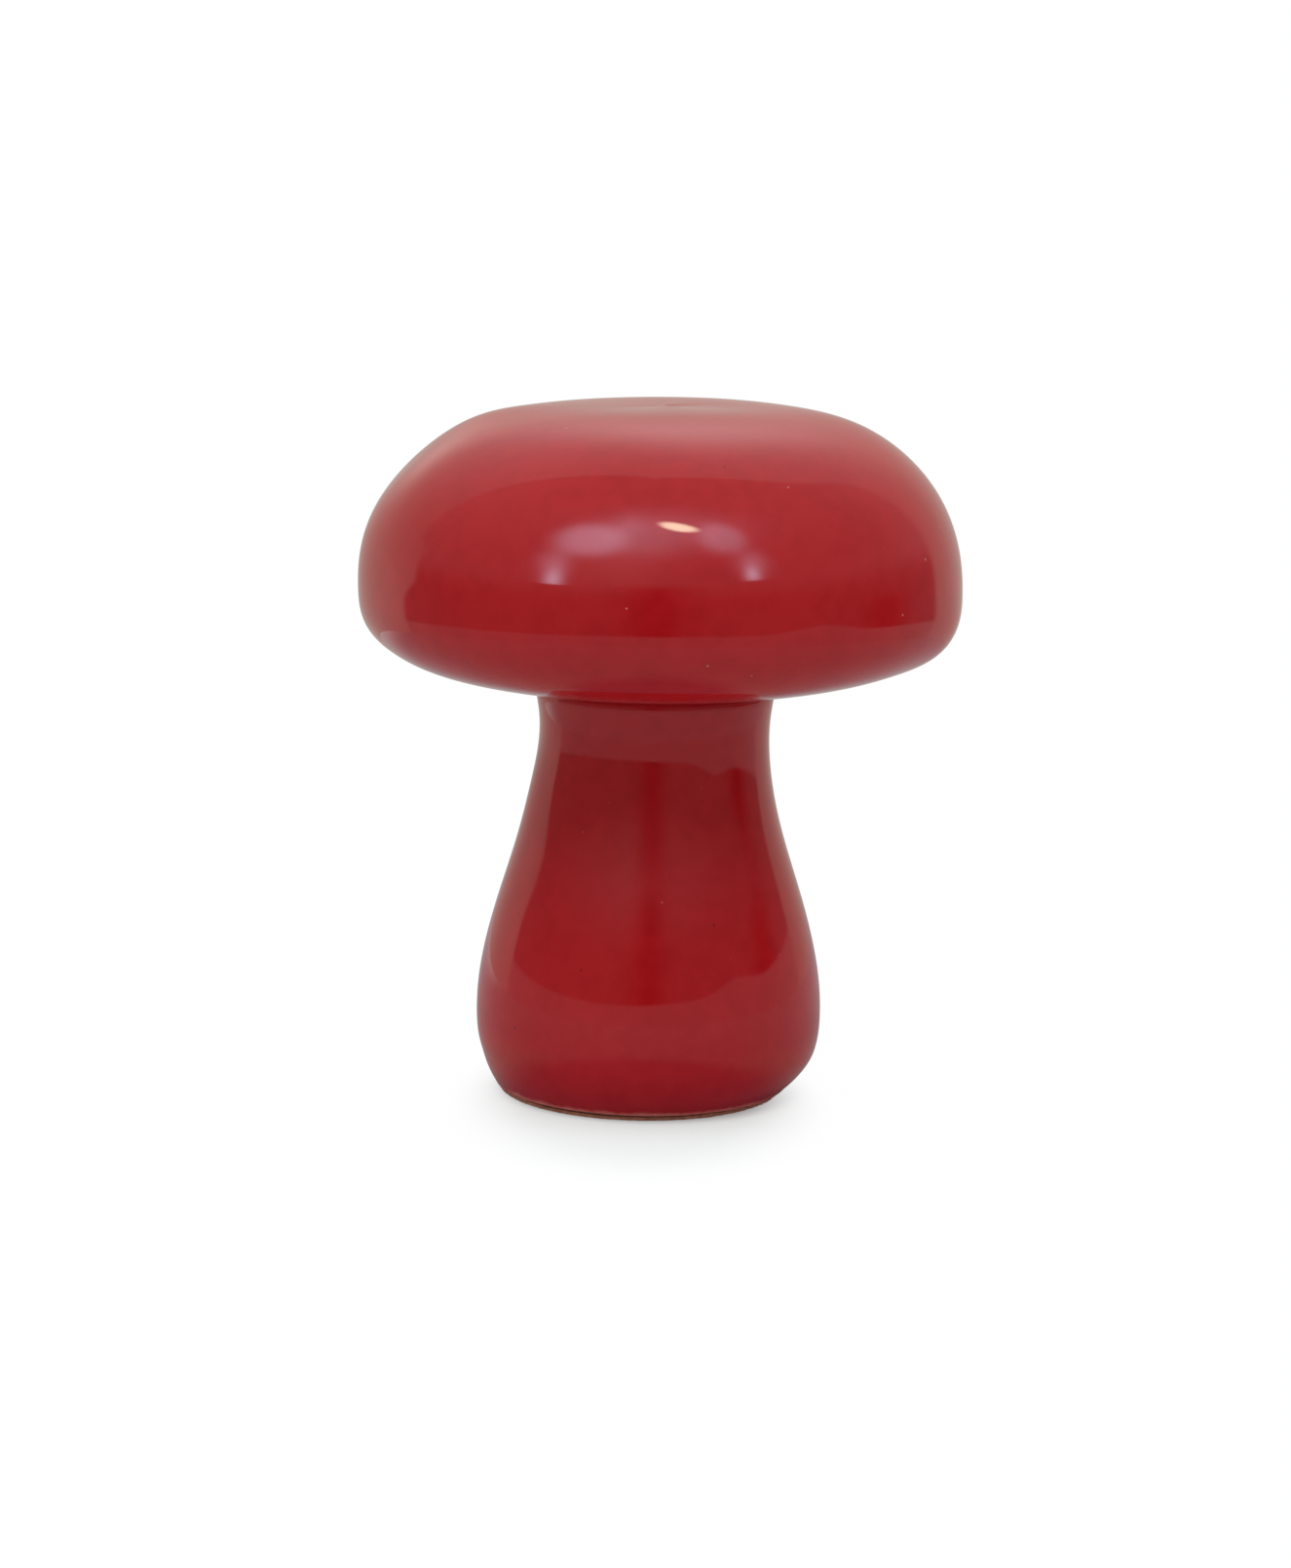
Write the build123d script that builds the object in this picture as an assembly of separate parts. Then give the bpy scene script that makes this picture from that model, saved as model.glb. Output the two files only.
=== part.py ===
from build123d import *
import math
import os

# A glazed ceramic mushroom ornament, cast in two hollow pieces and joined with slip.
# Millimetres, +Z up. The origin is the centre of the felt pad's underside, on the table.
# +X is the right-hand side of the front view, and the viewer stands on the -Y side.

# Foot layers
felt_thickness = 0.6
felt_radius = 24.15
adhesive_thickness = 0.2
adhesive_inset = 1.5  # the adhesive's edge lies this far inside the felt's edge

# Fired coat and clay
glaze_thickness = 0.6
bare_band = 0.25  # bare clay left between the foot and the edge of the glaze
wall = 4.0
drain_radius = 8.0

# Stem, measured on the outside of the glaze
stem_height = 70.5  # foot to shoulder
foot_radius = 24.7
foot_curve = 2.7  # power of the curve from the foot out to the belly
foot_sag = 1.2  # the foot sagged this far to the left of the stem's axis
sag_rise = 6.2  # foot up to where the stem is back on its axis
belly_radius = 29.5
belly_rise = 13.2  # foot to belly
waist_radius = 19.6
waist_drop = 7.5  # neck edge down to the waist
neck_radius = 20.5

# Joint between stem and cap
groove_rise = 1.9  # neck edge up to the shoulder
groove_depth = 1.9  # neck edge in to the shoulder
shoulder_width = 1.7
spigot_stand = 2.0  # the spigot stands this far above the floor of the cap's hollow
slip_layer = 0.6  # slip between shoulder and seat
slip_gap = 0.4  # slip round the spigot
bead_reach = 0.4  # slip squeezed out past the shoulder
bead_drop = 0.3
seat_depth = 0.8  # the seat lies this far up inside the cap's clay underside

# Cap, measured on the outside of the glaze
cap_radius = 50.95
crown_rise = 33.8
crown_squareness = 2.28  # power of the superellipse above the rim
dish_depth = 3.55  # shallow hollow in the middle of the crown
dish_spread = 22.0
underside_drop = 16.55
underside_squareness = 3.0  # power of the superellipse below the rim
cap_offset = 0.65  # the cap sits this far to the right of the stem's axis
cap_tilt = 0.65  # degrees that the cap is tipped to the left on the stem

# The felt is stuck on a little off the middle of the casts
stem_offset = 1.3  # the stem's axis stands this far to the right of the felt's middle

# Heights along the axis of the stem, worked out from the sizes above
foot_level = felt_thickness + adhesive_thickness
glaze_line = foot_level + bare_band
stem_floor = foot_level + wall
belly_height = foot_level + belly_rise
shoulder_height = foot_level + stem_height
neck_height = shoulder_height - groove_rise
waist_height = neck_height - waist_drop
seat_height = shoulder_height + slip_layer
rim_height = seat_height - seat_depth - glaze_thickness + underside_drop
clay_inset = glaze_thickness + wall
cap_floor = rim_height - underside_drop + clay_inset
spigot_top = cap_floor + spigot_stand

# Radii, from the neck inwards
shoulder_radius = neck_radius - glaze_thickness - groove_depth
spigot_radius = shoulder_radius - shoulder_width
bore_radius = spigot_radius - wall
socket_radius = spigot_radius + slip_gap
seat_radius = shoulder_radius + bead_reach

# How many steps carry each curve
cap_steps = 12  # rim to pole
foot_steps = 7
body_steps = 8
flare_steps = 3


def turned(*lines):
    """Solid of revolution about Z, from lines drawn as (radius, height)."""
    return revolve(Plane.XZ * make_face(lines), Axis.Z)


def disc(radius, bottom, top):
    """Upright cylinder about Z between two heights."""
    return turned(Polyline((0, bottom), (radius, bottom), (radius, top), (0, top), close=True))


def cap_point(angle, inset):
    """Point (radius, height) on the cap's profile, or inset inside it.

    The profile is r = R cos(angle)^(2/n), z = H sin(angle)^(2/n), with its own H and n above
    and below the rim, less the crown's dish.
    """
    if angle >= 0:
        height = crown_rise - inset
        power = 2 / crown_squareness
        dish = dish_depth * math.sin(angle) ** 2
    else:
        height = inset - underside_drop
        power = 2 / underside_squareness
        dish = 0
    radius = (cap_radius - inset) * abs(math.cos(angle)) ** power
    hollow = dish * math.exp(-((radius / dish_spread) ** 2) / 2)
    return (radius, rim_height + height * abs(math.sin(angle)) ** power - hollow)


def cap_form(inset):
    """Solid bun inside the cap's profile at one inset, tipped and moved off the stem's axis."""
    pole = math.pi / 2
    lowest = (0, cap_point(-pole, inset)[1])
    highest = (0, cap_point(pole, inset)[1])
    between = [cap_point(pole * step / cap_steps, inset) for step in range(1 - cap_steps, cap_steps)]
    outline = Spline(lowest, *between, highest, tangents=[(1, 0), (-1, 0)])
    bun = Pos(0, 0, -rim_height) * turned(outline, Line(highest, lowest))
    return Pos(cap_offset, 0, rim_height) * Rot(0, -cap_tilt, 0) * bun


def stem_radius(height):
    """Outside radius of the stem: a curved foot, a smooth fall to the waist, a flare to the neck."""
    if height <= belly_height:
        share = (belly_height - height) / belly_rise
        return belly_radius - (belly_radius - foot_radius) * share**foot_curve
    if height <= waist_height:
        share = (height - belly_height) / (waist_height - belly_height)
        return belly_radius + (waist_radius - belly_radius) * (3 * share**2 - 2 * share**3)
    share = (height - waist_height) / waist_drop
    return waist_radius + (neck_radius - waist_radius) * share**2


def stem_curve(inset, bottom, top):
    """Curve of the stem's side, inset inside the glaze, from one height up to another."""
    heights = [bottom]
    stretches = (
        (bottom, belly_height, foot_steps),
        (belly_height, waist_height, body_steps),
        (waist_height, top, flare_steps),
    )
    for low, high, steps in stretches:
        if high > low:
            heights += [low + (high - low) * step / steps for step in range(1, steps + 1)]
    return Spline(*[(stem_radius(height) - inset, height) for height in heights])


def foot_form(inset):
    """Solid from the foot up to the belly, through circles that drift off the axis."""
    circles = []
    for step in range(foot_steps + 1):
        height = foot_level + belly_rise * step / foot_steps
        drift = -foot_sag * max(0, 1 - (height - foot_level) / sag_rise) ** 1.5
        circles.append(Pos(drift, 0, height) * Circle(stem_radius(height) - inset))
    return loft(circles)


def stem_form(inset, *above):
    """Solid inside the stem's side from the foot to the neck, with (radius, height) points above."""
    side = stem_curve(inset, belly_height, neck_height)
    rest = Polyline(side @ 1, *above, (0, above[-1][1]), (0, belly_height), side @ 0)
    return turned(side, rest) + foot_form(inset)


# Stem: the outside form, the clay under the glaze, and the hollow in the clay
outer_shoulder = (shoulder_radius + glaze_thickness, shoulder_height)
stem_outside = stem_form(0, outer_shoulder)

clay_shoulder = (shoulder_radius, shoulder_height)
spigot_corners = ((spigot_radius, shoulder_height), (spigot_radius, spigot_top))
stem_clay = stem_form(glaze_thickness, clay_shoulder, *spigot_corners)

inner_side = stem_curve(clay_inset, stem_floor, waist_height)
bore_corners = ((bore_radius, shoulder_height), (bore_radius, spigot_top), (0, spigot_top))
bore_line = Polyline(inner_side @ 1, *bore_corners, (0, stem_floor), inner_side @ 0)
stem_hollow = turned(inner_side, bore_line)
drain_hole = disc(drain_radius, 0, stem_floor)
stem_shell = stem_clay - stem_hollow - drain_hole

# Cap: the same form three times, then the flat seat and the socket that take the stem
cap_outside = cap_form(0)
cap_clay = cap_form(glaze_thickness)
cap_hollow = cap_form(clay_inset)
seat_cut = disc(seat_radius, neck_height, seat_height)
socket_cut = disc(socket_radius, neck_height, rim_height)
cap_shell = cap_clay - cap_hollow - seat_cut - socket_cut

# Joint: slip on the shoulder, up round the spigot, and a bead at the root of the crease
joint_slip = disc(seat_radius, shoulder_height - bead_drop, seat_height)
joint_slip += disc(socket_radius, seat_height, cap_floor)
joint_slip -= stem_clay

# Glaze: the outside of both casts less all the clay and slip, wiped back above the foot
glaze_coat = cap_outside + stem_outside - cap_clay - stem_clay - joint_slip
glaze_coat -= disc(belly_radius, 0, glaze_line)

# The casts on their axis, and the felt with its adhesive about the origin
on_axis = Pos(stem_offset, 0, 0)
pieces = {
    "cap_shell": on_axis * cap_shell,
    "stem_shell": on_axis * stem_shell,
    "joint_slip": on_axis * joint_slip,
    "glaze_coat": on_axis * glaze_coat,
    "pad_adhesive": disc(felt_radius - adhesive_inset, felt_thickness, foot_level),
    "felt_pad": disc(felt_radius, 0, felt_thickness),
}

os.makedirs("parts", exist_ok=True)
for name, piece in pieces.items():
    export_step(piece, f"parts/{name}.step")
    box = piece.bounding_box()
    print(f"{name}: {len(piece.solids())} solid, {piece.volume:.0f} mm3, top {box.max.Z:.2f} mm")
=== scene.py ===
# %% [markdown]
# # A glazed ceramic mushroom ornament
#
# This lesson dresses a small red mushroom that stands on a table. On the real ornament two hollow
# casts of clay are joined with liquid clay, coated with one red glaze, fired, and set on a felt pad.
# The construction model already holds these pieces at their real size, so it is loaded first and
# nothing in it is moved.

import bpy
import numpy as np
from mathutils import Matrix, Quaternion, Vector


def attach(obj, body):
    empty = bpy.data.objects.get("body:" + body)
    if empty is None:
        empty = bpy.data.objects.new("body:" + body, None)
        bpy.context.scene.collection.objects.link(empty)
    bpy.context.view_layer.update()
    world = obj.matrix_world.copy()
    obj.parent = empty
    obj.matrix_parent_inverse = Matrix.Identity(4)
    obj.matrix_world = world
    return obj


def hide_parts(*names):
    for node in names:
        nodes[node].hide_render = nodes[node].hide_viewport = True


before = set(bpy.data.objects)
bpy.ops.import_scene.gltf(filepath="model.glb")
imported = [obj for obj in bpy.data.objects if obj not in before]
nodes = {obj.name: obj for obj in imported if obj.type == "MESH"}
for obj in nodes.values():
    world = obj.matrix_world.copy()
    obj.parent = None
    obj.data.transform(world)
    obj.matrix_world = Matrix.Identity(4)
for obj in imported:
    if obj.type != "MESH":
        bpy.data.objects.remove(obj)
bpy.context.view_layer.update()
print("construction model:", ", ".join(sorted(nodes)))

# %% [markdown]
# ## Sizes
#
# The glaze and the felt get finer shapes here than the construction model gives them, so the sizes
# behind those shapes are written again. They are in millimetres, as a potter would measure them, and
# each mesh is scaled to metres when it is made.

# %% Sizes of the ornament in millimetres
mm = 0.001

foot_level = 0.8
glaze_line = 1.05
foot_radius = 24.7
foot_curve = 2.7
foot_sag = 1.2
sag_rise = 6.2
stem_offset = 1.3
belly_radius = 29.5
belly_rise = 13.2
belly_height = foot_level + belly_rise
waist_radius = 19.6
waist_height = 61.9
neck_radius = 20.5
neck_height = 69.4
shoulder_radius = 18.6
shoulder_height = 71.3

cap_radius = 50.95
cap_offset = 0.65
cap_tilt = np.radians(0.65)
rim_height = 87.05
crown_rise = 33.8
crown_squareness = 2.28
dish_depth = 3.55
dish_spread = 22.0
underside_drop = 16.55
underside_squareness = 3.0

print(f"cap {2 * cap_radius:.1f} mm wide, stem waist {2 * waist_radius:.1f} mm")

# %% [markdown]
# ## The outline of the glaze
#
# The casts come out of round moulds, so the outside is one outline turned about an axis.
# It could be drawn by hand as a curve and spun, but formulas keep it on the construction model
# exactly: two halves of a superellipse for the cap, and a few eased curves for the stem.

# %% Cap and stem as formulas


def eased(share):
    """0 to 1 with a level start and end: 3 s^2 - 2 s^3, where s is held between 0 and 1."""
    held = np.clip(share, 0, 1)
    return held * held * (3 - 2 * held)


def cap_outline(angle):
    """Radius and height on the cap: r = R cos(a)^(2/n) and z = rim + H sin(a)^(2/n).

    H and n differ above and below the rim, and a bell-shaped dish is taken off the crown.
    """
    above = angle >= 0
    power = np.where(above, 2 / crown_squareness, 2 / underside_squareness)
    reach = np.where(above, crown_rise, -underside_drop)
    radius = cap_radius * np.abs(np.cos(angle)) ** power
    hollow = np.where(above, dish_depth * np.sin(angle) ** 2, 0)
    dish = hollow * np.exp(-((radius / dish_spread) ** 2) / 2)
    return np.stack([radius, rim_height + reach * np.abs(np.sin(angle)) ** power - dish])


def stem_radius(height):
    """Radius of the stem: a curve from foot to belly, an eased fall to the waist, and a flare.

    Foot: belly - (belly - foot) s^2.7. Flare: waist + (neck - waist) s^2. Each s runs from 0 to 1.
    """
    tuck = np.clip((belly_height - height) / belly_rise, 0, None) ** foot_curve
    fall = eased((height - belly_height) / (waist_height - belly_height))
    flare = np.clip((height - waist_height) / (neck_height - waist_height), 0, None) ** 2
    lower = (belly_radius - foot_radius) * tuck
    narrowing = (waist_radius - belly_radius) * fall
    widening = (neck_radius - waist_radius) * flare
    return belly_radius - lower + narrowing + widening


def foot_drift(height):
    """How far the foot sagged to the left: -sag s^1.5, where s falls from 1 at the foot to 0."""
    return -foot_sag * np.clip(1 - (height - foot_level) / sag_rise, 0, None) ** 1.5


print(f"stem radius at belly {stem_radius(belly_height):.2f} mm")
print(f"stem radius at neck {stem_radius(neck_height):.2f} mm")

# %% [markdown]
# ## Rounding the corners
#
# Glaze is liquid in the kiln, so it rounds the sharp neck of the stem and fills the crease under the
# cap. A Bevel modifier could round the neck, but it doesn't fill the crease. A moving average along
# the outline does both at once and leaves gentle curves as they are.

# %% Outline from belly to crown, with corners rounded
outline_step = 0.04
corner_softness = 0.9
side_samples = 800
slope_samples = 400
cap_samples = 4000


def even_steps(line, step):
    """The same line of (radius, height) points, with points at even steps along its length."""
    length = np.concatenate([[0], np.cumsum(np.hypot(*np.diff(line, axis=1)))])
    marks = np.arange(0, length[-1], step)
    return np.stack([np.interp(marks, length, part) for part in line])


def rounded(line, step, softness):
    """The line averaged along its length, with weights exp(-(distance / softness)^2 / 2)."""
    reach = int(4 * softness / step)
    weights = np.exp(-((np.arange(-reach, reach + 1) * step / softness) ** 2) / 2)
    longer = np.pad(line, ((0, 0), (reach, reach)), mode="reflect", reflect_type="odd")
    return np.stack([np.convolve(part, weights / weights.sum(), mode="valid") for part in longer])


side_heights = np.linspace(belly_height, neck_height, side_samples)
stem_side = np.stack([stem_radius(side_heights), side_heights])
slope = np.linspace(0, 1, slope_samples)[1:]
neck_slope = np.stack(
    [
        neck_radius + (shoulder_radius - neck_radius) * slope,
        neck_height + (shoulder_height - neck_height) * slope,
    ]
)
underside = cap_outline(np.linspace(-np.pi / 2, 0, cap_samples)[1:])
under_slope = np.interp(neck_slope[0], underside[0], underside[1])
crease = int(np.argmax(neck_slope[1] >= under_slope))
crease_radius = neck_slope[0][crease]
underside = underside[:, underside[0] > crease_radius]
crown = cap_outline(np.linspace(0, np.pi / 2, cap_samples)[1:])

sharp_outline = np.concatenate([stem_side, neck_slope[:, :crease], underside, crown], axis=1)
coat_line = rounded(even_steps(sharp_outline, outline_step), outline_step, corner_softness)
coat_marks = np.arange(coat_line.shape[1]) * outline_step
print(f"outline {coat_marks[-1]:.1f} mm long, crease at radius {crease_radius:.2f} mm")

# %% [markdown]
# ## Rings where they are needed
#
# Reflections in a glossy glaze show every flat facet, so rings are packed closely where the outline
# bends sharply and spaced out elsewhere. A density along the outline is added up, and rings are set
# at even steps of the sum.

# %% Choose the rings
turns = 288


def nearest_mark(radius, height):
    """The place along the outline that lies closest to a radius and a height."""
    return coat_marks[np.argmin(np.hypot(coat_line[0] - radius, coat_line[1] - height))]


neck_mark = nearest_mark(neck_radius, neck_height)
crease_mark = nearest_mark(crease_radius, under_slope[crease])


def ring_marks(spacing, fine_spacing, fine_reach):
    """Places along the outline: even spacing, and finer within reach of the neck and the crease."""
    near = sum(np.exp(-(((coat_marks - mark) / fine_reach) ** 2)) for mark in (neck_mark, crease_mark))
    density = 1 / spacing + near / fine_spacing
    total = np.cumsum(density) * outline_step
    return np.interp(np.linspace(total[0], total[-1], int(total[-1])), total, coat_marks)


def at_marks(marks):
    """Radius, height and outward direction of the outline at these places along it."""
    along = np.gradient(coat_line, outline_step, axis=1)
    outward = np.stack([along[1], -along[0]]) / np.hypot(*along)
    parts = np.concatenate([coat_line, outward])
    return np.stack([np.interp(marks, coat_marks, part) for part in parts])


outer_marks = ring_marks(spacing=1.0, fine_spacing=0.12, fine_reach=0.9)
inner_marks = ring_marks(spacing=3.0, fine_spacing=0.5, fine_reach=0.9)
print(f"{len(outer_marks)} rings outside, {len(inner_marks)} rings inside, {turns} turns")

# %% [markdown]
# ## The skin of glaze
#
# The coat is one closed shell: an outer sheet from the foot to the crown, an inner sheet against the
# clay, and a rounded lip at the foot where the glaze was wiped back. The ring centres slide from the
# stem's axis to the cap's axis across the flat underside, and at the foot they drift to the left, where
# the soft clay sagged. The wiped edge wavers a little, as a cloth leaves it.

# %% Surface functions of the glaze
coat_thickness = 0.55
slide_reach = 12  # from the crease out to where the rings are centred on the cap
tip_reach = 1  # from the crease out to where the rings are tipped as far as the cap
turn = np.linspace(0, 2 * np.pi, turns, endpoint=False)


def on_axis(x, y, z):
    """Points about the stem's axis, which stands to the right of the felt's middle."""
    return np.stack([stem_offset + x, y, z], axis=-1)


def wiped_edge():
    """Height of the glaze's lower edge round the foot: a level line with three small waves."""
    waver = 0.05 * np.sin(3 * turn + 0.6) + 0.04 * np.sin(7 * turn + 2.1) + 0.02 * np.sin(16 * turn)
    return glaze_line + waver


def foot_rings(inset, lowest, share):
    """Rings from the lowest line to the belly, in shares of that height, inset inside the stem."""
    height = lowest + (belly_height - lowest) * share[:, None]
    radius = stem_radius(height) - inset
    return on_axis(foot_drift(height) + radius * np.cos(turn), radius * np.sin(turn), height)


def body_rings(marks, inset):
    """Rings from the belly to the crown at these places along the outline, inset inside it.

    From the crease on, the rings tip with the cap about the middle of its rim.
    """
    radius, height, out_radius, out_height = (part[:, None] for part in at_marks(marks))
    past_crease = marks[:, None] - crease_mark
    slide = cap_offset * eased(past_crease / slide_reach)
    tip = cap_tilt * eased(past_crease / tip_reach)
    across = (radius - inset * out_radius) * np.cos(turn)
    depth = (radius - inset * out_radius) * np.sin(turn)
    rise = height - inset * out_height - rim_height
    x = slide + across * np.cos(tip) - rise * np.sin(tip)
    return on_axis(x, depth, rim_height + rise * np.cos(tip) + across * np.sin(tip))


def lip_rings(lowest, count):
    """Half circle under the edge of the coat, from the inner sheet round to the outer one."""
    half = coat_thickness / 2
    around = np.linspace(np.pi, 2 * np.pi, count)[:, None]
    radius = stem_radius(lowest) - half + half * np.cos(around)
    x = foot_drift(lowest) + radius * np.cos(turn)
    return on_axis(x, radius * np.sin(turn), lowest + half * np.sin(around))


lip_centre = wiped_edge() + coat_thickness / 2
print(f"glaze edge wavers between {wiped_edge().min():.2f} and {wiped_edge().max():.2f} mm")

# %% [markdown]
# ## Unevenness of the coat
#
# A hand-dipped coat runs thicker in places, and the clay under it is never quite round. Both are mostly
# a few tenths of a millimetre, but a gloss shows them as bends in the reflections. Each place is a bell
# on the surface, pushed out or in along the surface's own direction, and a fuller band runs across the
# front of the cap, low down.

# %% Push the outer sheet out and in
band_push = 0.9
band_height = 75.3
band_turn = 0.6  # radians to each side of the front
band_width = 2.2
fade_rise = 6  # height above the glaze's edge at which the unevenness is full
foot_ring_count = 25


def outward_of(grid):
    """Unit direction out of the surface at each grid point: the cross product of its two slopes."""
    around = np.roll(grid, -1, axis=1) - np.roll(grid, 1, axis=1)
    along = np.gradient(grid, axis=0)
    out = np.cross(around, along)
    out[-1] = (0, 0, 1)
    return out / np.linalg.norm(out, axis=-1, keepdims=True)


def bell(grid, place, spread):
    """exp(-(distance from place / spread)^2 / 2) at each grid point."""
    return np.exp(-((np.linalg.norm(grid - np.array(place), axis=-1) / spread) ** 2) / 2)


# millimetres pushed out, the place, and the spread of each bell
bells = [
    (0.55, (-28.3, 2, 114.4), 6),
    (-0.5, (-41.1, -2, 107.2), 6),
    (0.25, (-48.8, -7, 89), 8),
    (-0.3, (-45.6, -13, 79.1), 7),
    (0.45, (33.7, 2, 114.7), 8),
    (-0.25, (50.1, -6, 98), 8),
    (0.45, (48.4, -14, 79), 5),
    (-0.3, (9.7, -30, 114.2), 9),
    (-0.35, (-18.2, -4, 62), 5),
    (0.3, (-19, -3, 52.6), 6),
    (-0.2, (23.1, -3, 45.4), 7),
]


def unevenness(grid):
    """Millimetres that the coat stands out at each point: bells, slow waves, and a fuller band in front.

    The band is push exp(-(t / band_turn)^2 - (z / band_width)^2), t and z measured from its middle.
    """
    height = grid[..., 2]
    waves = 0.05 * np.sin(2 * turn + 0.04 * height) + 0.04 * np.sin(3 * turn - 0.07 * height + 1.0)
    from_front = (turn - 1.5 * np.pi) / band_turn
    from_middle = (height - band_height) / band_width
    band = band_push * np.exp(-(from_front**2) - from_middle**2)
    return waves + band + sum(push * bell(grid, place, spread) for push, place, spread in bells)


foot_shares = np.linspace(0, 1, foot_ring_count, endpoint=False)
outer = np.concatenate([foot_rings(0, lip_centre, foot_shares), body_rings(outer_marks, 0)])
fade = eased((outer[..., 2:] - glaze_line) / fade_rise)
outer = outer + outward_of(outer) * unevenness(outer)[..., None] * fade
outer[-1] = outer[-1].mean(axis=0)
print(f"coat stands out by {unevenness(outer).min():.2f} to {unevenness(outer).max():.2f} mm")

# %% [markdown]
# ## From a grid to a mesh
#
# Every new piece here is a grid of rings that starts and ends in a single point. One helper turns
# such a grid into quads, with a fan of triangles at each end, so poles are closed and the seam has
# no doubled points.

# %% Make the glaze skin


def closed_rings(grid):
    """Points and faces of a grid of rings x turns x 3 whose first and last rings are single points."""
    rings, columns = grid.shape[:2]
    points = np.concatenate([grid[:1, 0], grid[1:-1].reshape(-1, 3), grid[-1:, 0]])
    here = np.arange(columns)
    after = np.roll(here, -1)
    start = 1 + np.arange(rings - 3)[:, None] * columns
    above = start + columns
    quads = np.stack([start + here, start + after, above + after, above + here], axis=-1)
    top = 1 + (rings - 3) * columns
    first_fan = np.stack([0 * here, 1 + after, 1 + here], axis=-1)
    last_fan = np.stack([0 * here + len(points) - 1, top + here, top + after], axis=-1)
    return points, quads.reshape(-1, 4).tolist() + first_fan.tolist() + last_fan.tolist()


def make_piece(name, points, faces, slot):
    """A smooth mesh object from points in millimetres, riding on the ornament's one body."""
    mesh = bpy.data.meshes.new(name)
    mesh.from_pydata((points * mm).tolist(), [], faces)
    mesh.polygons.foreach_set("use_smooth", np.ones(len(faces), bool))
    mesh.update()
    piece = bpy.data.objects.new(name, mesh)
    bpy.context.scene.collection.objects.link(piece)
    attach(piece, "root")
    return piece


inner_foot = foot_rings(coat_thickness, lip_centre, foot_shares[::3])
inner = np.concatenate([inner_foot, body_rings(inner_marks, coat_thickness)])
inner[-1] = inner[-1].mean(axis=0)
skin_grid = np.concatenate([inner[::-1], lip_rings(lip_centre, 9)[1:-1], outer])
glaze_skin = make_piece("glaze_skin", *closed_rings(skin_grid), "red_glaze")
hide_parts("glaze_coat")
print(f"glaze_skin: {len(glaze_skin.data.polygons)} faces")

# %% [markdown]
# ## The felt pad
#
# The pad is a disc punched from brown felt, pressed flat by the ornament's weight. Its punched edge
# bulges a little and is ragged, so the edge of the disc wanders by about a tenth of a millimetre in
# every ring, as a sum of sine waves with seeded phases.

# %% Felt disc
felt_radius = 24.15
felt_thickness = 0.6
bulge = 0.3
wander = 0.45
lowest_wave = 9
chance = np.random.default_rng(11)


def ragged(columns, rings, count):
    """Ring by ring, a sum of sine waves round the edge, from the lowest wave up, with fading heights."""
    angle = np.linspace(0, 2 * np.pi, columns, endpoint=False)
    waves = np.arange(lowest_wave, lowest_wave + count)
    phases = chance.uniform(0, 2 * np.pi, (rings, count, 1))
    heights = np.sin(waves[:, None] * angle + phases) / np.sqrt(waves)[:, None]
    return heights.sum(axis=1) / np.sqrt(count)


felt_turns = 480
felt_angle = np.linspace(0, 2 * np.pi, felt_turns, endpoint=False)
flat_rings = np.array([0, 8, 16, 21])
# the edge bulges out as cos^0.6 and climbs as sin^0.8, from the lower face to the upper one
bulge_angle = np.linspace(-np.pi / 2, np.pi / 2, 9)
edge_radius = felt_radius - bulge + bulge * np.cos(bulge_angle) ** 0.6
edge_side = np.sign(bulge_angle) * np.abs(np.sin(bulge_angle)) ** 0.8
edge_height = felt_thickness / 2 + felt_thickness / 2 * edge_side
lower_face = np.zeros(len(flat_rings))
upper_face = lower_face + felt_thickness
felt_line_radius = np.concatenate([flat_rings, edge_radius, flat_rings[::-1]])[:, None]
felt_line_height = np.concatenate([lower_face, edge_height, upper_face])[:, None]
near_edge = (felt_line_radius / felt_radius) ** 12
raggedness = wander * ragged(felt_turns, len(felt_line_radius), count=120) * near_edge
felt_grid = np.stack(
    [
        (felt_line_radius + raggedness) * np.cos(felt_angle),
        (felt_line_radius + raggedness) * np.sin(felt_angle),
        felt_line_height + 0 * felt_angle,
    ],
    axis=-1,
)
felt_points, felt_faces = closed_rings(felt_grid)
print(f"felt edge wanders by {raggedness.min():.2f} to {raggedness.max():.2f} mm")

# %% [markdown]
# ## Felt hairs
#
# A punched edge of felt is never clean: single fibres stand out of it. A hair system could make them,
# but short tapered tubes from a seeded generator are plain mesh, which exports as it is. The disc and
# its hairs become one piece, and it stands for the felt of the construction model.

# %% Felt hairs, and the pad made from both
hairs = 1400
hair_depth = 0.25
hair_width = 0.035
lowest_hair = 0.06
highest_hair = 0.55
hair_length = chance.uniform(0.2, 0.6, hairs)
hair_turn = chance.uniform(0, 2 * np.pi, hairs)
hair_swing = chance.normal(0, 0.7, hairs)
hair_root = chance.uniform(0.1, 0.52, hairs)
hair_climb = chance.normal(0, 0.25, hairs)
along_hair = np.linspace(0, 1, 4)
round_hair = np.linspace(0, 2 * np.pi, 3, endpoint=False)


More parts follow.
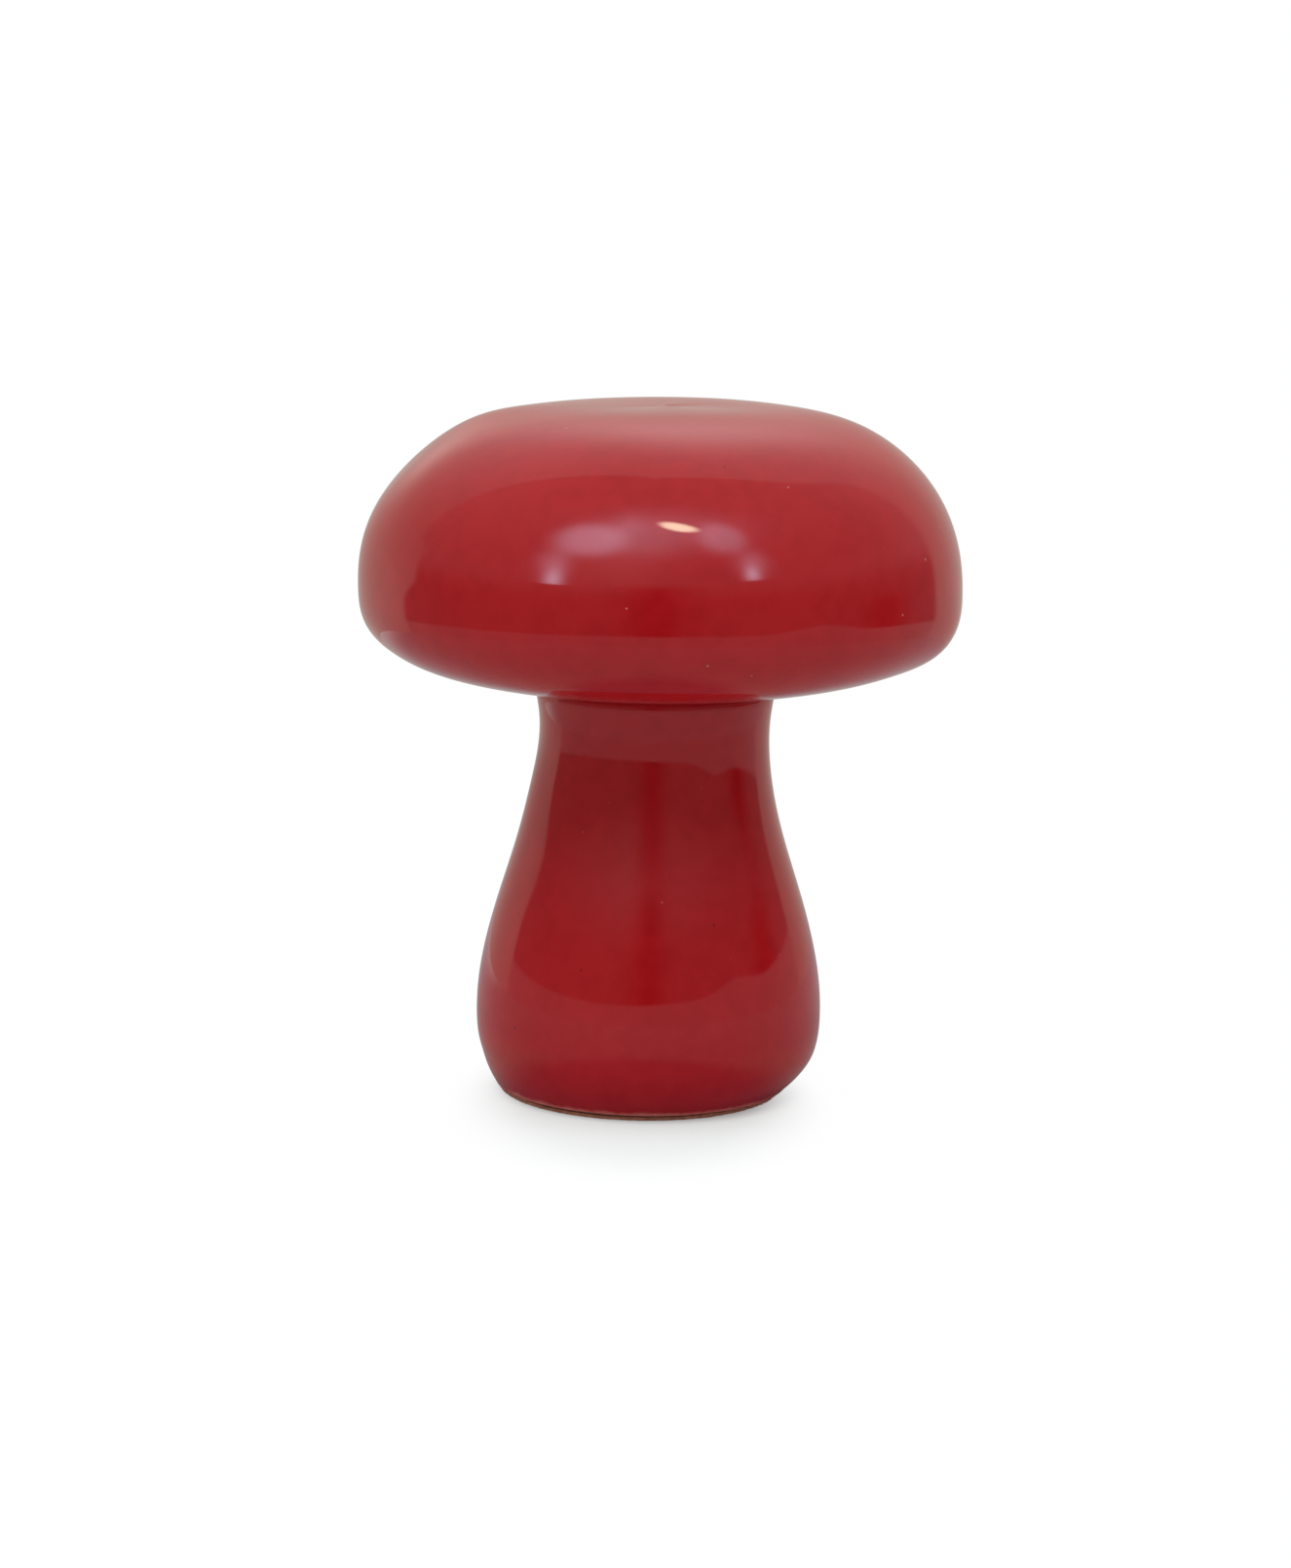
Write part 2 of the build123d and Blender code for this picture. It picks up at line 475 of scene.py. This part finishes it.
def hair_tubes():
    """Tapered three-sided tubes that leave the felt's edge and curl sideways.

    A point is root + length s (outward, swing s, climb) plus a ring of radius w (1.05 - s).
    """
    s = along_hair[None, :, None]
    drawn = (hair_length, hair_swing, hair_root, hair_climb, hair_turn)
    length, swing, root, climb, angle = (part[:, None, None] for part in drawn)
    out = felt_radius - hair_depth + length * s
    side = length * swing * s**2
    up = np.clip(root + length * climb * s, lowest_hair, highest_hair)
    width = hair_width * (1.05 - s)
    side = side + width * np.cos(round_hair)
    up = up + width * np.sin(round_hair)
    x = out * np.cos(angle) - side * np.sin(angle)
    y = out * np.sin(angle) + side * np.cos(angle)
    return np.stack([x, y, up], axis=-1).reshape(-1, 3)


def hair_faces(first):
    """Three quads between each two rings of a hair, and a triangle at each end."""
    rings, sides = len(along_hair), len(round_hair)
    here = np.arange(sides)
    after = np.roll(here, -1)
    ring = np.arange(rings - 1)[:, None] * sides
    above = ring + sides
    quad = np.stack([ring + here, above + here, above + after, ring + after], axis=-1).reshape(-1, 4)
    ends = np.array([here, (rings - 1) * sides + here[::-1]])
    start = first + np.arange(hairs)[:, None, None] * rings * sides
    return (start + quad).reshape(-1, 4).tolist() + (start + ends).reshape(-1, 3).tolist()


all_felt_points = np.concatenate([felt_points, hair_tubes()])
all_felt_faces = felt_faces + hair_faces(len(felt_points))
felt_disc = make_piece("felt_disc", all_felt_points, all_felt_faces, "felt")
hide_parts("felt_pad")
print(f"felt_disc: {len(felt_disc.data.polygons)} faces, {hairs} hairs")

# %% [markdown]
# ## Writing shaders as sums
#
# A material is a graph of nodes, and wiring it by hand takes many lines. The small class below wraps
# one output of a node, so that `1 - mask` or `mask * 0.5` adds the Math nodes by itself. Its method
# `add` makes any other node: settings first, then the values or links of its sockets.

# %% A socket that does arithmetic


class Signal:
    """One output in a material's node tree. Arithmetic on it adds Math nodes to that tree."""

    def __init__(self, tree, socket=None):
        self.tree = tree
        self.socket = socket

    def add(self, kind, settings, inputs, output=0):
        """Adds a node with these settings, then sets or links its inputs, and returns one output."""
        node = self.tree.nodes.new(kind)
        for name, value in settings.items():
            setattr(node, name, value)
        self.feed(node, inputs)
        return Signal(self.tree, node.outputs[output])

    def feed(self, node, inputs):
        """Sets a plain value or links a signal on each named or numbered input of a node."""
        for name, value in inputs.items():
            if isinstance(value, Signal):
                self.tree.links.new(value.socket, node.inputs[name])
            else:
                node.inputs[name].default_value = value

    def math(self, operation, first, second):
        return self.add("ShaderNodeMath", {"operation": operation}, {0: first, 1: second})

    def __add__(self, other):
        return self.math("ADD", self, other)

    __radd__ = __add__

    def __sub__(self, other):
        return self.math("SUBTRACT", self, other)

    def __rsub__(self, other):
        return self.math("SUBTRACT", other, self)

    def __mul__(self, other):
        return self.math("MULTIPLY", self, other)

    __rmul__ = __mul__

    def rise(self, low, high):
        """0 where this value is below low, 1 above high, and eased between them."""
        ends = {"Value": self, "From Min": low, "From Max": high}
        return self.add("ShaderNodeMapRange", {"interpolation_type": "SMOOTHSTEP"}, ends)

    def between(self, low_colour, high_colour):
        """A colour that goes from one to the other as this value goes from 0 to 1."""
        colours = {0: self, 6: low_colour, 7: high_colour}
        return self.add("ShaderNodeMix", {"data_type": "RGBA"}, colours, output=2)


def new_finish(name):
    """A material with a Principled shader, the shader, and Object coordinates to build on."""
    material = bpy.data.materials.new(name)
    material.use_nodes = True
    shader = material.node_tree.nodes["Principled BSDF"]
    place = Signal(material.node_tree).add("ShaderNodeTexCoord", {}, {}, output="Object")
    return material, shader, place


def cloud(place, size, detail):
    """Soft noise from 0 to 1 whose patches are about size millimetres across."""
    pattern = {"Vector": place, "Scale": 1 / (size * mm), "Detail": detail}
    return place.add("ShaderNodeTexNoise", {}, pattern)


def specks(place, spacing, radius, shift):
    """1 in small round spots, at most one to a cell, where the surface cuts the middle of the cell."""
    moved = place.add("ShaderNodeVectorMath", {"operation": "ADD"}, {0: place, 1: (shift, shift, shift)})
    cells = {"Vector": moved, "Scale": 1 / (spacing * mm)}
    distance = place.add("ShaderNodeTexVoronoi", {"feature": "F1"}, cells)
    return 1 - distance.rise(0.4 * radius / spacing, radius / spacing)


def bump(height, depth):
    """A normal that follows a height from 0 to 1, depth millimetres deep."""
    relief = {"Strength": 1.0, "Distance": depth * mm, "Height": height}
    return height.add("ShaderNodeBump", {}, relief)


print("shader helpers ready")

# %% [markdown]
# ## Red glaze
#
# The finish is a deep, almost opaque red glass over pale clay. What tells it from plastic is small:
# faint clouds where the coat is thicker, a paler rim where it thins out above the foot, pinholes left
# by bubbles, a few dark specks, and a slight waver in the gloss.

# %% Material of the glaze
glaze, glaze_shader, place = new_finish("red_glaze")

height = place.add("ShaderNodeSeparateXYZ", {}, {"Vector": place}, output="Z")
drift = cloud(place, 26, 2)
fine_cloud = cloud(place, 3.2, 3)
thick = 0.55 * drift + 0.45 * fine_cloud
body_red = thick.rise(0.36, 0.64).between((0.375, 0.0075, 0.0105, 1), (0.335, 0.0045, 0.0075, 1))

edge_waver = cloud(place, 2.4, 2)
thin_foot = 1 - (height - 1.2 * mm * edge_waver).rise(0.4 * mm, 1.5 * mm)
foot_red = (0.8 * thin_foot).between(body_red, (0.62, 0.19, 0.15, 1))

pinholes = specks(place, 4.4, 0.26, 0.31) * cloud(place, 9, 1).rise(0.5, 0.64)
dark_specks = specks(place, 7.5, 0.28, 0.77)
pitted_red = (0.45 * pinholes).between(foot_red, (0.72, 0.38, 0.33, 1))
speckled_red = (0.85 * dark_specks).between(pitted_red, (0.05, 0.004, 0.005, 1))

gloss = 0.015 + 0.03 * fine_cloud + 0.2 * pinholes
waver = cloud(place, 11, 1) - 0.25 * pinholes

feeds = {"Base Color": speckled_red, "Roughness": gloss, "Normal": bump(waver, 0.03), "IOR": 1.5}
place.feed(glaze_shader, feeds)
glaze_skin.data.materials.append(glaze)
print("red glaze:", len(glaze.node_tree.nodes), "nodes")

# %% [markdown]
# ## Clay, slip and adhesive
#
# Only a thin line of bare clay shows, between the glaze and the felt, and there the wiped glaze has
# stained it. The casts are whole pieces all the same, and each gets its own finish: fired clay with
# fine grain, slip that is a little darker and smoother, and a cloudy film of glue.

# %% Materials of the hidden pieces


def fired_clay(name, low, high, grain, roughness):
    """A matt body with grain of a given size in millimetres, between two colours, stained red below."""
    material, shader, place = new_finish(name)
    grains = cloud(place, grain, 4)
    stain = cloud(place, 14, 2)
    height = place.add("ShaderNodeSeparateXYZ", {}, {"Vector": place}, output="Z")
    clean = (0.6 * grains + 0.4 * stain).rise(0.3, 0.7).between(low, high)
    colour = height.rise(1.3 * mm, 2.5 * mm).between((0.5, 0.2, 0.15, 1), clean)
    rough = roughness + 0.12 * grains
    place.feed(shader, {"Base Color": colour, "Roughness": rough, "Normal": bump(grains, 0.08)})
    return material


clay = fired_clay("clay", (0.66, 0.42, 0.31, 1), (0.84, 0.60, 0.46, 1), 0.5, 0.72)
slip = fired_clay("slip", (0.62, 0.40, 0.30, 1), (0.78, 0.56, 0.43, 1), 0.3, 0.66)
glue = fired_clay("adhesive", (0.62, 0.54, 0.38, 1), (0.80, 0.73, 0.56, 1), 1.6, 0.38)

finishes = {"cap_shell": clay, "stem_shell": clay, "joint_slip": slip, "pad_adhesive": glue}
for node_name, material in finishes.items():
    nodes[node_name].data.materials.clear()
    nodes[node_name].data.materials.append(material)
    print(node_name, "wears", material.name)

# %% [markdown]
# ## Felt
#
# Felt is a mat of short fibres with no weave. Noise that is stretched in two directions and crossed
# gives strands; the colour varies from strand to strand, and the bump makes the surface fuzzy.

# %% Material of the felt
felt, felt_shader, place = new_finish("brown_felt")


def strands(place, stretch):
    """Noise drawn out along one direction, as loose fibres lie."""
    drawn = place.add("ShaderNodeMapping", {}, {"Vector": place, "Scale": stretch})
    return cloud(drawn, 0.22, 3)


crossed = 0.5 * strands(place, (1, 0.2, 0.6)) + 0.5 * strands(place, (0.2, 1, 0.6))
lint = cloud(place, 2.5, 2)
paleness = (0.7 * crossed + 0.3 * lint).rise(0.36, 0.64)
felt_colour = paleness.between((0.36, 0.12, 0.068, 1), (0.66, 0.28, 0.17, 1))
felt_feeds = {"Base Color": felt_colour, "Roughness": 0.9 + 0.1 * lint, "Normal": bump(crossed, 0.25)}
place.feed(felt_shader, felt_feeds)
felt_shader.inputs["Sheen Weight"].default_value = 0.25
felt_shader.inputs["Sheen Roughness"].default_value = 0.5
felt_disc.data.materials.append(felt)
print("brown felt:", len(felt.node_tree.nodes), "nodes")

# %% [markdown]
# ## Table
#
# The ornament stands on a white table top. Looked at directly, the table and the world behind it are
# close to plain white, and Light Path tells which rays look: those of the camera, of a gloss and of
# glass. The table keeps the ornament's shadow, most of all close to the foot.

# %% Table top


def flat_sheet(name, height, x_range, y_range, material):
    """A single level face."""
    corners = [(x, y, height) for x, y in zip(x_range + x_range[::-1], np.repeat(y_range, 2).tolist())]
    mesh = bpy.data.meshes.new(name)
    mesh.from_pydata(corners, [], [(0, 1, 2, 3)])
    mesh.materials.append(material)
    sheet = bpy.data.objects.new(name, mesh)
    bpy.context.scene.collection.objects.link(sheet)
    return sheet


def looking_rays(tree):
    """1 for a ray of the camera, of a gloss or of glass, and 0 for light that is scattered."""
    kinds = ("Is Camera Ray", "Is Glossy Ray", "Is Transmission Ray")
    rays = [Signal(tree).add("ShaderNodeLightPath", {}, {}, output=kind) for kind in kinds]
    return rays[0] + rays[1] + rays[2]


def level_distance(place, centre_y, y_scale):
    """Metres from a point on the Y axis, with distances along Y scaled."""
    stretch = {"Vector": place, "Location": (0, -centre_y * y_scale, 0), "Scale": (1, y_scale, 1)}
    moved = place.add("ShaderNodeMapping", {}, stretch)
    return place.add("ShaderNodeVectorMath", {"operation": "LENGTH"}, {0: moved}, output="Value")


white_top, top_shader, place = new_finish("white_table")
looked_at = looking_rays(white_top.node_tree)
# less red than green and blue, against the red that the ornament throws on the table
top_colour = looked_at.between((0.65, 0.65, 0.65, 1), (0.84, 0.92, 0.91, 1))
place.feed(top_shader, {"Base Color": top_colour, "Roughness": 1.0, "Specular IOR Level": 0.0})
plain_white = place.add("ShaderNodeEmission", {}, {"Color": (1, 1, 1, 1), "Strength": 1.0})
matt_white = Signal(white_top.node_tree, top_shader.outputs[0])
# painted light: for looking rays the table glows plain white, more so away from the foot, so the shadow
# shows near the foot and is washed out further off
whiteness = looked_at * (0.25 + 0.74 * level_distance(place, -0.015, 0.65).rise(0.016, 0.034))
top_mix = place.add("ShaderNodeMixShader", {}, {0: whiteness, 1: matt_white, 2: plain_white})
place.feed(white_top.node_tree.nodes["Material Output"], {"Surface": top_mix})
table = flat_sheet("table_top", 0, [-2.0, 2.0], [-1.0, 3.0], white_top)
print("table:", [round(side, 2) for side in table.dimensions])

# %% [markdown]
# ## Light
#
# Two soft lights do the work: a world that is brightest overhead and behind, and a wide sun from the
# front and above that lights the crown and the belly while the cap shades the stem under it. The light
# from behind reddens the edges of the ornament. The gloss doesn't show the sun, because it mirrors a
# studio of its own, which comes next.

# %% World and sun
world = bpy.data.worlds.new("soft_overhead_light")
world.use_nodes = True
sky = Signal(world.node_tree).add("ShaderNodeTexCoord", {}, {}, output="Generated")
sky_height = sky.add("ShaderNodeSeparateXYZ", {}, {"Vector": sky}, output="Z")
horizon_light = 0.36
zenith_light = 0.76
back_light = 0.58
sky_depth = sky.add("ShaderNodeSeparateXYZ", {}, {"Vector": sky}, output="Y")
upper_light = horizon_light + (zenith_light - horizon_light) * sky_height
overhead = upper_light + back_light * sky_depth.rise(-0.35, 0.55)
looked_at = looking_rays(world.node_tree)
strength = overhead + looked_at * (1 - overhead)
sky.feed(world.node_tree.nodes["Background"], {"Color": (1, 1, 1, 1), "Strength": strength})
bpy.context.scene.world = world
bpy.context.scene.view_settings.view_transform = "Standard"

sun_light = bpy.data.lights.new("window_sun", "SUN")
sun_light.energy = 1.4
sun_light.angle = np.radians(40)
sun = bpy.data.objects.new("window_sun", sun_light)
sun.rotation_euler = Vector((-0.04, -0.47, 0.88)).to_track_quat("Z", "Y").to_euler()
sun.visible_glossy = False
bpy.context.scene.collection.objects.link(sun)
print(f"world from {horizon_light} at the horizon to {zenith_light} overhead, sun {sun_light.energy:.2f}")

# %% [markdown]
# ## What the gloss mirrors
#
# A gloss needs something to mirror, so a small studio is set up that only reflections see: a grey
# table inside a dome a quarter of a metre in radius. The dome has pale walls behind, a darker room in
# front, two soft lamps with their glow on the ceiling, and one small warm lamp. Because the dome is so
# close, the cap looks up at the lamps while the stem, lower down, looks past them at the dark front.

# %% Brightness of the studio


def spot(azimuth, elevation, centre, spread, power=2):
    """A soft lamp: exp(-d^power), d in spreads from its centre, in degrees of azimuth and elevation."""
    across = (np.mod(azimuth - centre[0] + 180, 360) - 180) / spread[0]
    up = (elevation - centre[1]) / spread[1]
    return np.exp(-(np.hypot(across, up) ** power))


def back_walls(azimuth, elevation):
    """Pale walls, brightest behind, with a window's light low on the left."""
    plain = 0.5 + 0.28 * eased((elevation - 20) / 50)
    behind = 0.5 * spot(azimuth, elevation, (174, 46), (24, 16))
    behind = behind + 0.4 * spot(azimuth, elevation, (-150, 22), (14, 9))
    return plain + behind + 0.12 * spot(azimuth, elevation, (-108, -6), (14, 14))


def open_front(azimuth, elevation):
    """The room in front: brighter upwards, darkest ahead and on the right, with a table below its edge."""
    plain = 0.18 + 0.195 * eased((elevation - 1) / 13) + 0.13 * eased((elevation - 18) / 36)
    ahead = 0.85 * np.exp(-(((azimuth + 1) / 12) ** 2)) * (1 - eased((elevation - 8.5) / 5))
    right = 0.85 * np.exp(-(((azimuth - 85) / 11) ** 2)) * (1 - eased((elevation + 5) / 7))
    room = plain * (1 - ahead) * (1 - right) + 0.3 * spot(azimuth, elevation, (-14, 25), (16, 13))
    table_edge = -11.6 + 2.9 * np.exp(-(((azimuth - 58) / 15) ** 2))
    table_share = eased((table_edge - elevation) / 1.4 + 0.5)
    return room + (0.4 - room) * table_share


def lamp_glow(azimuth, elevation):
    """Two lamps, each with a drop of light above it, and the arch that they throw on the ceiling."""

    def lit(strength, centre, spread, power=2):
        return strength * spot(azimuth, elevation, centre, spread, power)

    arch = lit(1.25, (2, 47), (30, 12.5)) + lit(0.9, (-14, 49), (9, 9)) + lit(0.45, (-6, 35), (12, 6))
    arch = arch + lit(2.6, (-28, 39), (15, 10.5), 4) + lit(1.7, (26, 41), (9.5, 10.5), 4)
    left = lit(4.2, (-37.3, 12.5), (3.6, 6.5)) + lit(1.5, (-38.5, 23), (6.5, 8))
    right = lit(3.8, (32.4, 16), (2.7, 5)) + lit(1.5, (33.5, 23), (5.5, 7.5))
    left_cut = eased((elevation - 9.8) / 0.8)
    right_cut = eased((elevation - 12) / 1.8)
    return arch + left * left_cut + right * right_cut


def studio(azimuth, elevation):
    """Colour by direction, azimuth from the front and positive to the right, in degrees.

    The walls are warm low down, the lamps are cool, and one small lamp is warm.
    """
    left_edge = -104 + 7 * eased((elevation + 6) / 8) - 5 * eased((elevation - 14) / 5)
    right_edge = 116 - 16 * eased((elevation - 40) / 25)
    front = eased((azimuth - left_edge) / 4 + 0.5) * eased((right_edge - azimuth) / 5 + 0.5)
    warmth = (1 - eased((elevation - 20) / 25))[..., None] * np.array([0.12, 0, -0.09])
    walls = (back_walls(azimuth, elevation) * (1 - front))[..., None] * (1 + warmth)
    room = (open_front(azimuth, elevation) * front)[..., None]
    slanted = elevation + 0.27 * (azimuth - 9)
    small_lamp = 14 * spot(azimuth, slanted, (9.0, 49.8), (8.4, 3.1), 6)
    cool = lamp_glow(azimuth, elevation)[..., None] * np.array([0.95, 1.0, 1.32])
    return walls + room + cool + small_lamp[..., None] * np.array([1.1, 1.0, 0.68])


straight_up = studio(np.array(0.0), np.array(90.0))
straight_ahead = studio(np.array(0.0), np.array(0.0))
print(f"brightness overhead {straight_up[1]:.2f}, ahead {straight_ahead[1]:.2f}")

# %% [markdown]
# ## Objects that only reflections see
#
# Each object in Blender has switches for the kinds of rays that see it. With all but the glossy ones
# off, an object shows in reflections and nowhere else. A dome could carry its brightness in a long chain
# of nodes, but a colour at each point of the mesh is simpler, and the material only reads it.

# %% Helpers for the studio


def only_in_reflections(thing):
    """Hides an object of the studio from every ray but those of a gloss."""
    for kind_of_ray in ("camera", "diffuse", "transmission", "volume_scatter", "shadow"):
        setattr(thing, "visible_" + kind_of_ray, False)


def glowing_piece(name, points, faces, colours):
    """A stage mesh in metres that shines with a colour given for each point."""
    mesh = bpy.data.meshes.new(name)
    mesh.from_pydata(points.tolist(), [], faces)
    brightness = mesh.attributes.new("brightness", "FLOAT_COLOR", "POINT")
    brightness.data.foreach_set("color", np.column_stack([colours, np.ones(len(colours))]).ravel())
    paint = bpy.data.materials.new(name)
    paint.use_nodes = True
    paint.cycles.emission_sampling = "NONE"
    reading = {"attribute_name": "brightness"}
    shade = Signal(paint.node_tree).add("ShaderNodeAttribute", reading, {}, output="Color")
    glow = shade.add("ShaderNodeEmission", {}, {"Color": shade, "Strength": 1.0})
    shade.feed(paint.node_tree.nodes["Material Output"], {"Surface": glow})
    mesh.materials.append(paint)
    piece = bpy.data.objects.new(name, mesh)
    bpy.context.scene.collection.objects.link(piece)
    only_in_reflections(piece)
    return piece


print("studio helpers ready")

# %% [markdown]
# ## Mirrored table
#
# In reflections the table is grey, darker in front of the foot, where the ornament shades it, with painted
# shade added there; paler close round the foot by painted light; and paler far back on the left by a
# painted pool of window light. It lies a hair above the white table.

# %% Grey table for the gloss
grey_top, grey_shader, place = new_finish("grey_table")
to_right = place.add("ShaderNodeSeparateXYZ", {}, {"Vector": place}, output="X")
to_back = place.add("ShaderNodeSeparateXYZ", {}, {"Vector": place}, output="Y")
# painted light: the grey is paler far back on the left, a painted pool of window light
painted_window_light = (0 - to_right).rise(0.05, 0.2) * to_back.rise(0.06, 0.16)
# painted light: the grey is paler within a few centimetres of the foot, lifting the shade there
grey_with_painted_light_near_foot = level_distance(place, 0, 1).rise(0.04, 0.07).between((0.46, 0.42, 0.4, 1), (0.37, 0.36, 0.37, 1))
# painted shade: a dark patch on the grey just in front of the foot, where the ornament shades it
painted_front_shade = level_distance(place, -0.03, 1).rise(0.024, 0.042).between((0.19, 0.19, 0.25, 1), grey_with_painted_light_near_foot)
table_grey = painted_window_light.between(painted_front_shade, (0.68, 0.68, 0.68, 1))
place.feed(grey_shader, {"Base Color": table_grey, "Roughness": 1.0, "Specular IOR Level": 0.0})
mirrored_table = flat_sheet("mirrored_table", 0.0002, [-0.27, 0.27], [-0.27, 0.27], grey_top)
only_in_reflections(mirrored_table)
print("mirrored table:", [round(side, 2) for side in mirrored_table.dimensions])

# %% [markdown]
# ## Dome
#
# The dome is a sphere of rings, packed closely where the lamps and the table's edge lie. It is rolled
# as the camera is, so that the studio sits square in the picture.

# %% Dome of the studio
camera_roll = np.radians(1.13)
dome_rings = 188
dome_turns = 420
dome_radius = 0.26
dome_centre = np.array([-0.0005, 0, 0.09])
elevations = np.interp(np.arange(dome_rings), [0, 14, 174, 187], [-90, -20, 60, 90])
azimuths = np.interp(np.arange(dome_turns), [0, 30, 90, 330, 390, 420], [-180, -120, -60, 60, 120, 180])
elevation_grid, azimuth_grid = np.meshgrid(elevations, azimuths, indexing="ij")
level = np.cos(np.radians(elevation_grid))
across = level * np.sin(np.radians(azimuth_grid))
upward = np.sin(np.radians(elevation_grid))
direction = np.stack(
    [
        across * np.cos(camera_roll) - upward * np.sin(camera_roll),
        -level * np.cos(np.radians(azimuth_grid)),
        upward * np.cos(camera_roll) + across * np.sin(camera_roll),
    ],
    axis=-1,
)
dome_points, dome_faces = closed_rings(dome_centre + dome_radius * direction)
glow = studio(azimuth_grid, elevation_grid)
glow = np.concatenate([glow[:1, 0], glow[1:-1].reshape(-1, 3), glow[-1:, 0]])
dome = glowing_piece("studio_dome", dome_points, dome_faces, glow)
print(f"dome: {len(dome.data.polygons)} faces, brightness from {glow.min():.2f} to {glow.max():.2f}")

# %% [markdown]
# ## Camera
#
# The camera stands 70 cm away and a little above the ornament, as for a tabletop shot with a long
# lens. Its place and lens were found by matching the cap's edge, the stem and the foot to the photo. It
# is rolled by about a degree, because the stem and the felt's two ends slant in the photo.

# %% Camera
camera_place = Vector((-1.068, -689.28, 180.03)) * mm
camera_aim = Vector((0.044, -0.916, 52.928)) * mm

lens = bpy.data.cameras.new("tabletop_lens")
lens.lens = 94.44
lens.sensor_width = 36
camera = bpy.data.objects.new("tabletop_camera", lens)
camera.location = camera_place
level_look = (camera_aim - camera_place).to_track_quat("-Z", "Y")
camera.rotation_euler = (level_look @ Quaternion((0, 0, 1), camera_roll)).to_euler()
bpy.context.scene.collection.objects.link(camera)
bpy.context.scene.camera = camera
print(f"camera {(camera_aim - camera_place).length:.3f} m from the ornament")
